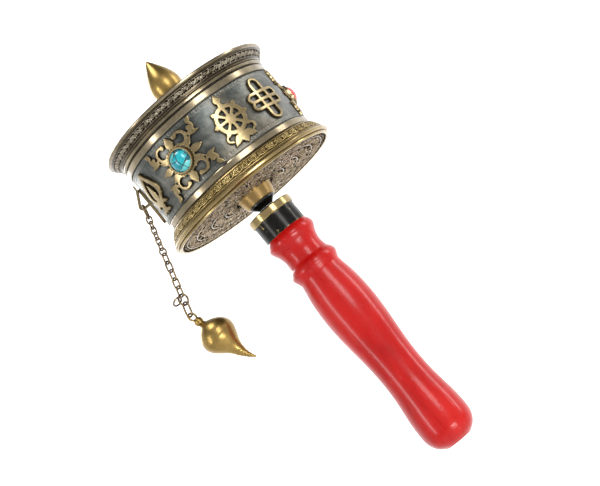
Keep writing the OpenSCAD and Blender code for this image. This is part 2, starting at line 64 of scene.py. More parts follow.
RIM_R = high("lid_rim", 0)
WALL_R = high("drum_shell", 0)
LID_TOP = high("lid_rim")
LID_Z = high("drum_shell") + 0.1
ROLL_H = 1.9
LIP_H = 1.5
LID_PLATE_Z = low("lid_plate")
LID_PLATE_R = high("lid_plate", 0)
COVE_Z = LID_Z + ROLL_H
COVE_H = LID_TOP - LIP_H - COVE_Z
PLATE_Z = low("base_plate")
PLATE_TOP = high("base_plate")
PLATE_R = high("base_plate", 0)
BUSH_R = 5.5
COLLAR_R = high("base_collar", 0)
RIM_TOP = high("base_rim")
FLANGE_H = 4.8
FLANGE_Z = RIM_TOP - FLANGE_H
FIELD_Z0 = high("lower_band")
FIELD_Z1 = low("upper_band")
SCROLL_R = high("paper_scroll", 0)
SCROLL_Z0 = low("paper_scroll")
SCROLL_Z1 = high("paper_scroll")
CORE_R = high("core_tube", 0)
WRAP_Z0 = low("scroll_wrap")
WRAP_Z1 = high("scroll_wrap")
STONE_TURNS = [-22.3, 97.7, 217.7]
FIELD_MID = (FIELD_Z0 + FIELD_Z1) / 2
FERRULE_EDGE = (low("ferrule_tube"), high("ferrule_tube"))

# ---- shader networks ----


class Wire:
    """One output of a finish's network; Python's operators on it add the Math nodes they stand for."""

    def __init__(self, finish, socket):
        self.finish = finish
        self.socket = socket

    def maths(self, operation, first, second):
        return self.finish.node("ShaderNodeMath", {"operation": operation}, {0: first, 1: second})

    def __add__(self, other):
        return self.maths("ADD", self, other)

    def __radd__(self, other):
        return self.maths("ADD", other, self)

    def __sub__(self, other):
        return self.maths("SUBTRACT", self, other)

    def __rsub__(self, other):
        return self.maths("SUBTRACT", other, self)

    def __mul__(self, other):
        return self.maths("MULTIPLY", self, other)

    def __rmul__(self, other):
        return self.maths("MULTIPLY", other, self)

    def __pow__(self, other):
        return self.maths("POWER", self, other)


class Finish:
    """A material in the making."""

    def __init__(self, name, **fixed):
        self.material = bpy.data.materials.new(name)
        self.material.use_nodes = True
        self.tree = self.material.node_tree
        self.shader = self.tree.nodes["Principled BSDF"]
        for socket, value in fixed.items():
            self.shader.inputs[socket.replace("_", " ")].default_value = value
        self.place = self.node("ShaderNodeTexCoord", output="Object")

    def node(self, kind, settings=None, inputs=None, output=0):
        """Adds a node: its settings first, then the values or wires of its sockets."""
        made = self.tree.nodes.new(kind)
        for key, value in (settings or {}).items():
            if key == "stops":
                self.set_stops(made.color_ramp, value)
            else:
                setattr(made, key, value)
        for key, value in (inputs or {}).items():
            self.join(value, made.inputs[key])
        return Wire(self, made.outputs[output])

    def set_stops(self, ramp, stops):
        while len(ramp.elements) < len(stops):
            ramp.elements.new(1)
        for element, (place, colour) in zip(ramp.elements, stops):
            element.position = place
            element.color = (*colour, 1)

    def join(self, value, socket):
        if isinstance(value, Wire):
            self.tree.links.new(value.socket, socket)
        else:
            socket.default_value = value

    def set(self, **wires):
        for socket, value in wires.items():
            self.join(value, self.shader.inputs[socket.replace("_", " ")])
        return self.material

    def stretched(self, x, y, z):
        """The place with each axis scaled, for grain that runs one way."""
        return self.moved("MULTIPLY", self.place, (x, y, z))

    def noise(self, size_mm, detail=4, rough=0.55, at=None, warp=0.0):
        """Cloudy noise from 0 to 1 with lumps about size_mm across."""
        inputs = {"Vector": at or self.place, "Scale": 1 / (size_mm * MM), "Detail": detail,
                  "Roughness": rough, "Distortion": warp}
        return self.node("ShaderNodeTexNoise", None, inputs)

    def cells(self, size_mm, feature="F1", output="Distance", at=None):
        inputs = {"Vector": at or self.place, "Scale": 1 / (size_mm * MM)}
        return self.node("ShaderNodeTexVoronoi", {"feature": feature}, inputs, output)

    def step(self, value, start, end, low_value=0.0, high_value=1.0):
        """Eases from low_value to high_value as value goes from start to end."""
        inputs = {"Value": value, "From Min": start, "From Max": end,
                  "To Min": low_value, "To Max": high_value}
        return self.node("ShaderNodeMapRange", {"interpolation_type": "SMOOTHSTEP"}, inputs)

    def blend(self, share, first, second):
        """Mixes two colours; share 0 gives the first."""
        first = first if isinstance(first, Wire) else (*first, 1)
        second = second if isinstance(second, Wire) else (*second, 1)
        settings = {"data_type": "RGBA", "clamp_factor": True}
        return self.node("ShaderNodeMix", settings, {0: share, 6: first, 7: second}, 2)

    def shades(self, value, stops):
        return self.node("ShaderNodeValToRGB", {"stops": stops}, {0: value}, "Color")

    def bump(self, height, depth_mm, strength=1.0, under=None):
        inputs = {"Height": height, "Distance": depth_mm * MM, "Strength": strength}
        if under:
            inputs["Normal"] = under
        return self.node("ShaderNodeBump", None, inputs)

    def mark(self, name):
        """A value that the mesh carries at its vertices."""
        return self.node("ShaderNodeAttribute", {"attribute_name": name}, None, "Fac")

    def shelter(self, reach_mm):
        """0 in the open and 1 deep in a corner, from ambient occlusion: where shade falls, which the finishes
        paint into colour as shade, and where tarnish gathers on the metals.
        """
        inputs = {"Distance": reach_mm * MM}
        return 1 - self.node("ShaderNodeAmbientOcclusion", {"samples": 6}, inputs, "AO")

    def along_axis(self, axis):
        """One coordinate of the place, in metres."""
        return self.node("ShaderNodeSeparateXYZ", None, {0: self.place}, axis)

    def height_in(self, start_mm, end_mm):
        """0 at either end of a stretch along the spindle, rising to 0.5 at its middle."""
        share = (self.along_axis("Z") - start_mm * MM) * (1 / ((end_mm - start_mm) * MM))
        return self.node("ShaderNodeMath", {"operation": "PINGPONG"}, {0: share, 1: 0.5})

    def above(self, level, edge_mm):
        return self.node("ShaderNodeMath", {"operation": "GREATER_THAN"}, {0: level, 1: edge_mm * MM})

    def inside(self, start_mm, end_mm):
        """1 between two levels along the spindle, and 0 outside them."""
        level = self.along_axis("Z")
        return self.above(level, start_mm) - self.above(level, end_mm)

    def moved(self, operation, place, other, socket=1):
        """One step of vector arithmetic on a place."""
        return self.node("ShaderNodeVectorMath", {"operation": operation}, {0: place, socket: other})

    def warped(self, lump_mm, reach_mm):
        """The place pushed about by noise, for veins that wander."""
        inputs = {"Vector": self.place, "Scale": 1 / (lump_mm * MM)}
        noise = self.node("ShaderNodeTexNoise", None, inputs, "Color")
        centred = self.moved("SUBTRACT", noise, (0.5, 0.5, 0.5))
        return self.moved("ADD", self.place, self.moved("SCALE", centred, reach_mm * MM, "Scale"))


# ---- finishes ----

BRASS_DARK = (0.055, 0.034, 0.013)
GOLD = (0.38, 0.255, 0.08)
GOLD_DULL = (0.19, 0.12, 0.036)
NICKEL_DARK = (0.024, 0.017, 0.011)
NICKEL_BROWN = (0.085, 0.064, 0.038)
NICKEL_BRIGHT = (0.30, 0.25, 0.165)


def polished_metal(name, bright, dull, tarnish_and_shade, rough, spots=0.5, brushed=1.0, shelter_mm=0.9,
                   cloudy=0.8, hollow=None):
    """Worn polished metal: cloudy dull patches, fine turning lines and tarnished pinhead spots, with painted
    shade in corners and across an optional hollow band, meant also as tarnish there.
    """
    f = Finish(name, Metallic=1.0)
    clouds = f.noise(9, 5, 0.6)
    turned = f.noise(0.55, 3, 0.6, f.stretched(0.12, 0.12, 1.6))
    pits = f.step(f.cells(1.6), 0.14, 0.05) * f.step(f.noise(6), 0.48, 0.6)
    # corner is ambient occlusion: it paints shade into corners, meant also as tarnish
    corner = f.step(f.shelter(shelter_mm), 0.16, 0.62)
    worn_and_shaded = f.blend(f.step(clouds, 0.34, 0.74, 0, cloudy), bright, dull)
    worn_and_shaded = f.blend(turned * 0.25, worn_and_shaded, tarnish_and_shade)
    worn_and_shaded = f.blend(pits * spots, worn_and_shaded, tarnish_and_shade)
    # painted shade: corners blended 85% toward the dark colour
    worn_and_shaded = f.blend(corner * 0.85, worn_and_shaded, tarnish_and_shade)
    if hollow:
        # painted shade: the hollow band is darkened across its width, fading only at its two edges
        deep = f.step(f.height_in(*hollow), 0.0, 0.08) * f.inside(*hollow)
        worn_and_shaded = f.blend(deep * 0.85, worn_and_shaded, tarnish_and_shade)
    roughness = rough + f.step(clouds, 0.4, 0.7) * 0.10 + turned * 0.05 + corner * 0.25
    lines = f.bump(turned, 0.012 * brushed)
    return f.set(Base_Color=worn_and_shaded, Roughness=roughness, Normal=f.bump(pits, -0.03, 1, lines))


def embossed_metal(name, bright, dull, ground, rough, rub=(0.18, 0.8)):
    """Stamped ornament: crests rubbed bright, ground left dark, read from the relief mark."""
    f = Finish(name, Metallic=1.0)
    relief = f.mark("relief")
    clouds = f.noise(4, 5, 0.6)
    grit = f.noise(0.35, 4, 0.7)
    rubbed = f.step(relief + (clouds - 0.5) * 0.6, *rub)
    crest = f.blend(f.step(clouds, 0.4, 0.65), bright, dull)
    colour = f.blend(rubbed, ground, crest)
    # painted shade: sunk pockets (negative relief) painted near black, so that they read as holes through the
    # metal
    colour = f.blend(f.step(relief, -0.1, -0.5), colour, (0.012, 0.009, 0.006))
    colour = f.blend(grit * 0.25, colour, ground)
    roughness = rough + (1 - rubbed) * 0.3 + grit * 0.08
    return f.set(Base_Color=colour, Roughness=roughness, Normal=f.bump(grit, 0.03))


def field_metal(name):
    """The drum's blackened silver field: cloudy pewter with pale rubbed patches, and painted shade, near
    black, round the ornaments, meant also as tarnish.
    """
    f = Finish(name, Metallic=1.0)
    clouds = f.noise(12, 6, 0.62, warp=0.6)
    mottle = f.noise(2.2, 5, 0.65)
    grit = f.noise(0.4, 4, 0.7)
    corner = f.step(f.shelter(3.2), 0.1, 0.55)
    lines = f.mark("relief")
    tone = clouds * 0.7 + mottle * 0.3
    colour = f.shades(tone, [(0.30, (0.035, 0.040, 0.040)), (0.45, (0.080, 0.086, 0.080)),
                             (0.57, (0.148, 0.150, 0.136)), (0.72, (0.28, 0.275, 0.245))])
    colour = f.blend(f.step(f.noise(20, 2), 0.5, 0.7, 0, 0.4), colour, (0.14, 0.11, 0.066))
    colour = f.blend(lines * 0.45, colour, (0.24, 0.225, 0.185))
    # painted shade: near black where the ornaments and bands shelter the field
    colour = f.blend(corner * 0.85, colour, (0.010, 0.011, 0.012))
    scratch = f.step(f.noise(0.5, 2, 0.5, f.stretched(0.5, 0.5, 9)), 0.64, 0.72)
    colour = f.blend(scratch * 0.2, colour, (0.4, 0.4, 0.37))
    roughness = 0.27 + mottle * 0.2 + corner * 0.2
    rubbed = f.bump(mottle, 0.05)
    return f.set(Base_Color=colour, Roughness=roughness, Normal=f.bump(grit, 0.022, 1, rubbed))


def lacquer(name):
    """Thick red lacquer on turned wood: even colour, long shallow waves, a few scratches and dust specks."""
    f = Finish(name, Coat_Weight=0.25, Coat_Roughness=0.14, Coat_IOR=1.4, Specular_IOR_Level=0.22)
    waves = f.noise(16, 3, 0.5, f.stretched(1, 1, 0.45))
    grain = f.noise(1.1, 4, 0.6, f.stretched(1, 1, 0.1))
    orange_peel = f.noise(1.3, 2, 0.5)
    specks = f.step(f.cells(3.2), 0.075, 0.03) * f.step(f.noise(9, 2), 0.50, 0.62)
    scratches = f.step(f.noise(1.5, 2, 0.4, f.stretched(1, 0.8, 0.12), 0.8), 0.685, 0.71)
    colour = f.shades(waves * 0.75 + grain * 0.25, [(0.3, (0.28, 0.002, 0.0015)), (0.5, (0.38, 0.004, 0.003)),
                                                    (0.7, (0.46, 0.008, 0.005))])
    colour = f.blend(specks * 0.6, colour, (0.62, 0.24, 0.2))
    colour = f.blend(scratches * 0.3, colour, (0.55, 0.1, 0.08))
    # painted shade: the lacquer darkens toward near black in corners near other parts, such as the mouth of
    # the ferrule
    shaded_mouth = f.step(f.shelter(1.2), 0.3, 0.8)
    colour = f.blend(shaded_mouth * 0.8, colour, (0.05, 0.003, 0.002))
    height = waves + grain * 0.05 + orange_peel * 0.05 - specks * 0.12 - scratches * 0.08
    return f.set(Base_Color=colour, Roughness=0.24 + grain * 0.1 + scratches * 0.2,
                 Normal=f.bump(height, 0.35))


def gunmetal(name):
    """Black plated tube, rubbed through to brass in a few spots and along its edges."""
    f = Finish(name, Metallic=0.6, Specular_IOR_Level=0.35)
    patches = f.noise(2.6, 5, 0.7, warp=0.8)
    where = f.step(f.noise(7, 2), 0.52, 0.62)
    edge = f.step(f.noise(1.4, 4), 0.5, 0.6) * f.step(f.height_in(*FERRULE_EDGE), 0.06, 0.02)
    rubbed = f.step(patches, 0.60, 0.64) * where + edge * 0.25
    turned = f.noise(0.4, 2, 0.5, f.stretched(0.1, 0.1, 1.5))
    black = f.blend(turned, (0.003, 0.003, 0.003), (0.011, 0.010, 0.008))
    colour = f.blend(rubbed, black, (0.42, 0.32, 0.13))
    return f.set(Base_Color=colour, Roughness=0.18 + turned * 0.1, Normal=f.bump(turned, 0.01))


def turquoise(name):
    """Blue-green stone with dark matrix veins and paler plates between them."""
    f = Finish(name, Coat_Weight=0.6, Coat_Roughness=0.05, Roughness=0.25, Specular_IOR_Level=0.3)
    plates = f.cells(3.8, "F1", "Color", f.warped(2.2, 1.2))
    tint = f.node("ShaderNodeSeparateColor", None, {0: plates}, "Red")
    veins = f.cells(3.8, "DISTANCE_TO_EDGE", "Distance", f.warped(2.2, 1.2))
    fine = f.noise(1.1, 5, 0.65)
    colour = f.shades(tint * 0.75 + fine * 0.25, [(0.15, (0.0, 0.09, 0.13)), (0.4, (0.0, 0.21, 0.27)),
                                                  (0.62, (0.008, 0.33, 0.37)), (0.85, (0.14, 0.52, 0.52))])
    line = f.step(veins, 0.07, 0.01)
    colour = f.blend(line, colour, (0.004, 0.012, 0.010))
    colour = f.blend(f.step(f.noise(2.6, 4, warp=1), 0.60, 0.68) * 0.5, colour, (0.02, 0.055, 0.03))
    return f.set(Base_Color=colour, Normal=f.bump(line, -0.06))


def coral(name):
    """Dyed red coral with faint growth lines."""
    f = Finish(name, Coat_Weight=0.9, Coat_Roughness=0.03, Roughness=0.2, Subsurface_Weight=0.12,
               Subsurface_Scale=0.0012)
    rings = f.noise(0.8, 3, 0.5, f.stretched(1, 1, 2.5))
    pits = f.step(f.cells(1.1), 0.12, 0.04) * f.step(f.noise(2.5), 0.5, 0.62)
    colour = f.blend(f.noise(3, 4), (0.33, 0.002, 0.003), (0.50, 0.008, 0.008))
    colour = f.blend(rings * 0.2, colour, (0.6, 0.05, 0.03))
    colour = f.blend(pits * 0.6, colour, (0.2, 0.004, 0.004))
    return f.set(Base_Color=colour, Normal=f.bump(pits, -0.03))


def nylon(name):
    f = Finish(name)
    grain = f.noise(0.3, 3, 0.6)
    scuffs = f.step(f.noise(1.6, 4, 0.7, f.stretched(1, 1, 3)), 0.55, 0.7)
    colour = f.blend(scuffs * 0.5, (0.006, 0.006, 0.006), (0.035, 0.034, 0.033))
    return f.set(Base_Color=colour, Roughness=0.24 + scuffs * 0.25, Normal=f.bump(grain, 0.015))


def paper(name):
    """Rolled printing paper: cream, with painted shade in the grooves between its turns, fine fibres and no
    print.
    """
    f = Finish(name, Roughness=0.85)
    fibres = f.noise(0.5, 5, 0.7, f.stretched(1, 1, 3))
    foxing = f.step(f.noise(5, 4), 0.6, 0.75)
    groove = f.mark("relief")
    colour = f.blend(fibres * 0.5, (0.78, 0.69, 0.48), (0.62, 0.51, 0.32))
    # painted shade: darker brown in the grooves between the turns
    colour = f.blend(groove * 0.75, colour, (0.20, 0.14, 0.075))
    colour = f.blend(foxing * 0.4, colour, (0.45, 0.29, 0.12))
    return f.set(Base_Color=colour, Normal=f.bump(fibres, 0.05))


def woven_cloth(name):
    """Yellow plain-woven cotton: warp and weft ridges a third of a millimetre apart."""
    f = Finish(name, Roughness=0.8, Sheen_Weight=0.3, Sheen_Roughness=0.5)
    around, along = f.mark("around"), f.mark("along")
    thread = {"operation": "SINE"}
    weft = f.node("ShaderNodeMath", thread, {0: along})
    warp = f.node("ShaderNodeMath", thread, {0: around})
    weave = weft * warp * 0.5 + 0.5
    slub = f.noise(3, 4, 0.6)
    colour = f.blend(slub, (0.62, 0.36, 0.04), (0.78, 0.50, 0.09))
    colour = f.blend(weave * 0.35, colour, (0.36, 0.19, 0.02))
    return f.set(Base_Color=colour, Normal=f.bump(weave, 0.08))


def steel(name):
    f = Finish(name, Metallic=1.0)
    turned = f.noise(0.35, 3, 0.6, f.stretched(0.08, 0.08, 2))
    grease = f.step(f.noise(5, 4), 0.5, 0.7)
    bare = f.blend(turned, (0.50, 0.49, 0.47), (0.36, 0.35, 0.33))
    colour = f.blend(grease * 0.6, bare, (0.10, 0.08, 0.06))
    return f.set(Base_Color=colour, Roughness=0.22 + turned * 0.15, Normal=f.bump(turned, 0.02))


def backdrop_white(name):
    """White paper that glows behind the object, and fades to grey above it and on the near side."""
    f = Finish(name, Roughness=0.9, Emission_Strength=0.9)
    tone = f.noise(900, 2, 0.4)
    colour = f.blend(tone, (0.80, 0.80, 0.80), (0.83, 0.83, 0.83))
    lit = f.step(f.along_axis("Z"), 2.7, 1.3) * f.step(f.along_axis("Y"), 0.1, 1.5)
    glow = f.blend(lit, (0.07, 0.068, 0.065), (1, 1, 1))
    return f.set(Base_Color=colour, Emission_Color=glow)


def make_finishes():
    """One finish for each of the record's slots, and four more: the lid's rim, the collar and two friezes."""
    return {
        "red_lacquer": lacquer("red_lacquer"),
        "black_ferrule": gunmetal("black_ferrule"),
        "brass": polished_metal("brass", (0.38, 0.285, 0.13), (0.19, 0.13, 0.052), BRASS_DARK, 0.17,
                                cloudy=0.5),
        "collar_brass": polished_metal("collar_brass", (0.36, 0.235, 0.09), (0.2, 0.125, 0.045), BRASS_DARK,
                                       0.25, 0.7, cloudy=0.5),
        "steel": steel("steel"),
        "black_nylon": nylon("black_nylon"),
        "pewter": field_metal("pewter"),
        "old_nickel": polished_metal("old_nickel", NICKEL_BRIGHT, NICKEL_BROWN, NICKEL_DARK, 0.16, 0.4,
                                     cloudy=0.5),
        # the lid's cove is painted darker as shade across its hollow band
        "lid_nickel": polished_metal("lid_nickel", NICKEL_BRIGHT, NICKEL_BROWN, NICKEL_DARK, 0.16, 0.4,
                                     hollow=(COVE_Z, COVE_Z + COVE_H)),
        "copper_filigree": embossed_metal("copper_filigree", (0.52, 0.41, 0.27), (0.17, 0.12, 0.07),
                                          (0.010, 0.006, 0.004), 0.14, (0.45, 1.05)),
        "paper": paper("paper"),
        "wrap_cloth": woven_cloth("wrap_cloth"),
        "relief_brass": polished_metal("relief_brass", (0.37, 0.29, 0.155), (0.165, 0.122, 0.058),
                                       (0.035, 0.025, 0.012), 0.22, 0.6, 0.4, 1.0),
        "turquoise": turquoise("turquoise"),
        "coral": coral("coral"),
        "chain_brass": polished_metal("chain_brass", (0.27, 0.20, 0.11), (0.085, 0.058, 0.03),
                                      (0.02, 0.012, 0.006), 0.18, 0.7, 0.3, 0.8),
        "gold_brass": polished_metal("gold_brass", GOLD, GOLD_DULL, (0.035, 0.02, 0.008), 0.27, 0.9, 0.5,
                                     cloudy=0.45),
        "rim_frieze": embossed_metal("rim_frieze", (0.46, 0.35, 0.15), (0.24, 0.17, 0.065),
                                     (0.06, 0.038, 0.013), 0.22),
        "lid_frieze": embossed_metal("lid_frieze", (0.38, 0.33, 0.25), (0.12, 0.098, 0.066),
                                     (0.014, 0.010, 0.007), 0.2),
    }


FINISH = make_finishes()

# ---- mesh helpers; all in millimetres until the object is made ----


def new_piece(name, points, faces, finish, body, marks=None):
    """Makes an object that rides on a body, from points in millimetres."""
    mesh = bpy.data.meshes.new(name)
    mesh.from_pydata((np.asarray(points, float) * MM).tolist(), [], [list(f) for f in faces])
    mesh.validate()
    for mark, values in (marks or {}).items():
        mesh.attributes.new(mark, "FLOAT", "POINT").data.foreach_set("value", np.asarray(values, np.float32))
    mesh.polygons.foreach_set("use_smooth", [True] * len(mesh.polygons))
    mesh.materials.append(FINISH[finish])
    piece = bpy.data.objects.new(name, mesh)
    bpy.context.scene.collection.objects.link(piece)
    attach(piece, body)
    return piece


def on_drum(azimuth, radius, height):
    """A point at an azimuth in degrees from the front towards +X."""
    a = np.radians(azimuth)
    return np.stack([radius * np.sin(a), -radius * np.cos(a), height + 0 * a], -1)


def evenly(outline, count):
    """Points spaced evenly along an outline, with the outward normal at each."""
    p = np.array(outline, float)
    run = np.concatenate([[0], np.cumsum(np.hypot(*np.diff(p, axis=0).T))])
    at = np.linspace(0, run[-1], count)
    r, z = np.interp(at, run, p[:, 0]), np.interp(at, run, p[:, 1])
    dr, dz = np.gradient(r), np.gradient(z)
    size = np.hypot(dr, dz)
    return r, z, dz / size, -dr / size, run[-1]


def stroke_height(x, y, strokes):
    """Height, 0 to 1, of rounded strokes on a flat grid; a stroke is (points, first and last half width)."""
    top = np.zeros_like(x)
    for points, first, last in strokes:
        p = np.asarray(points, float)
        for k in range(len(p) - 1):
            a, d = p[k], p[k + 1] - p[k]
            t = np.clip(((x - a[0]) * d[0] + (y - a[1]) * d[1]) / max(d @ d, 1e-9), 0, 1)
            away = np.hypot(x - a[0] - t * d[0], y - a[1] - t * d[1])
            half = first + (last - first) * (k + t) / (len(p) - 1)
            top = np.maximum(top, np.sqrt(np.clip(1 - (away / half) ** 2, 0, 1)))
    return top


def curl(x, y, outer, inner, start, turns, points=16):
    """A spiral from its outer end in to its eye; start in degrees."""
    t = np.linspace(0, 1, points)
    r = outer + (inner - outer) * t
    a = np.radians(start) + 2 * math.pi * turns * t
    return np.stack([x + r * np.cos(a), y + r * np.sin(a)], -1)


def dot(x, y):
    return [(x, y), (x + 0.01, y)]


def stamped_ring(name, outline, repeats, rows, columns, art, height, finish, body):
    """A ring of stamped ornament on a turned outline. The art is drawn on a tile as wide as one repeat
    and as high as the outline is long; its edges are turned under so that they close on the metal."""
    r, z, nr, nz, length = evenly(outline, rows)
    wide = 2 * math.pi * float(np.mean(r)) / repeats
    u = np.linspace(0, 1, columns, endpoint=False)
    v = np.linspace(0, 1, rows)
    x, y = np.meshgrid(u * wide, v * length, indexing="ij")
    strokes = art(wide, length)
    copies = [([(px + shift, py) for px, py in p], a, b) for p, a, b in strokes for shift in (-wide, 0, wide)]
    tall = stroke_height(x, y, copies)
    lift = 0.03 + tall * height
    lift[:, 0] = lift[:, -1] = -0.06
    turn = (np.arange(repeats)[:, None] + u[None, :]).reshape(-1) * 360 / repeats
    lift, tall = np.tile(lift, (repeats, 1)), np.tile(tall, (repeats, 1))
    radius = r[None, :] + nr[None, :] * lift
    level = z[None, :] + nz[None, :] * lift
    a = np.radians(turn)[:, None]
    points = np.stack([radius * np.sin(a), -radius * np.cos(a), level], -1).reshape(-1, 3)
    n = len(turn)
    i, k = np.meshgrid(np.arange(n), np.arange(rows - 1), indexing="ij")
    j = (i + 1) % n
    faces = np.stack([i * rows + k, j * rows + k, j * rows + k + 1, i * rows + k + 1], -1).reshape(-1, 4)
    return new_piece(name, points, faces, finish, body, {"relief": tall.reshape(-1)})


# ---- stamped art, drawn on a tile in millimetres ----


def running_scroll(wide, high_mm):
    """A wave with a curl and two leaves in each half, as on a lid's cove."""
    m, h = high_mm / 2, high_mm
    x = np.linspace(0, wide, 17)
    stem = np.stack([x, m + h * 0.24 * np.sin(2 * np.pi * x / wide)], -1)
    w = h * 0.07
    q = wide / 4
    return [
        (stem, w, w),
        (curl(q, m - h * 0.02, h * 0.22, h * 0.05, 90, -1.2), w, w * 0.7),
        (curl(3 * q, m + h * 0.02, h * 0.22, h * 0.05, 270, -1.2), w, w * 0.7),
        ([(q * 1.9, m), (q * 2.15, m + h * 0.2), (q * 2.0, m + h * 0.36)], w * 1.5, w * 0.4),
        ([(q * 3.9, m), (q * 4.15, m - h * 0.2), (q * 4.0, m - h * 0.36)], w * 1.5, w * 0.4),
        ([(q * 0.4, m + h * 0.36), (q * 0.75, m + h * 0.38)], w * 0.8, w * 0.8),
        ([(q * 2.4, m - h * 0.36), (q * 2.75, m - h * 0.38)], w * 0.8, w * 0.8),
        ([(0, h * 0.045), (wide, h * 0.045)], h * 0.03, h * 0.03),
        ([(0, h * 0.955), (wide, h * 0.955)], h * 0.03, h * 0.03),
    ]


def base_scroll(wide, high_mm):
    """Linked rings with a bud between them, as on the flange of the base."""
    m, h = high_mm / 2, high_mm
    w = h * 0.06
    bud = wide * 0.5
    return [
        (curl(0, m, h * 0.27, h * 0.27, 35, 0.8), w, w),
        (curl(0, m, h * 0.12, h * 0.12, 0, 1.0, 10), w * 0.9, w * 0.9),
        (curl(bud, m + h * 0.1, h * 0.2, h * 0.05, 250, 1.1), w, w * 0.7),
        ([(bud - h * 0.3, m - h * 0.26), (bud, m - h * 0.16), (bud + h * 0.3, m - h * 0.26)], w * 0.5, w),
        ([(bud + h * 0.24, m + h * 0.3), (bud + h * 0.34, m)], w * 1.3, w * 0.4),
        ([(bud - h * 0.24, m + h * 0.3), (bud - h * 0.36, m - h * 0.02)], w * 1.2, w * 0.4),
        ([(0, h * 0.06), (wide, h * 0.06)], h * 0.035, h * 0.035),
        ([(0, h * 0.93), (wide, h * 0.93)], h * 0.035, h * 0.035),
    ]


def fret(wide, high_mm):
    """A key fret one line wide."""
    w = high_mm * 0.07
    x, y = wide, high_mm
    key = [(0, 0.2), (0.8, 0.2), (0.8, 0.8), (0.3, 0.8), (0.3, 0.5), (0.55, 0.5)]
    back = [(0.8, 0.2), (1.0, 0.2)]
    return [([(a * x, b * y) for a, b in line], w, w) for line in (key, back)]


def petals(wide, high_mm):
    """One lotus petal with its rib and the tip of the petal behind."""
    h = high_mm
    side = [(0.02, 0.04), (0.0, 0.35), (0.14, 0.68), (0.5, 0.95)]
    w = h * 0.045
    lines = [[(a * wide, b * h) for a, b in side], [((1 - a) * wide, b * h) for a, b in side]]
    rib = [(0.5 * wide, 0.1 * h), (0.5 * wide, 0.66 * h)]
    inner = [[(0.5 * wide, 0.72 * h), (0.24 * wide, 0.5 * h), (0.2 * wide, 0.1 * h)],
             [(0.5 * wide, 0.72 * h), (0.76 * wide, 0.5 * h), (0.8 * wide, 0.1 * h)]]
    return ([(line, w, w) for line in lines] + [(rib, w * 1.3, w * 0.5)]
            + [(line, w * 0.7, w * 0.7) for line in inner]
            + [([(0, 0.96 * h), (wide, 0.96 * h)], w * 0.8, w * 0.8)])


# ---- pieces of the drum ----


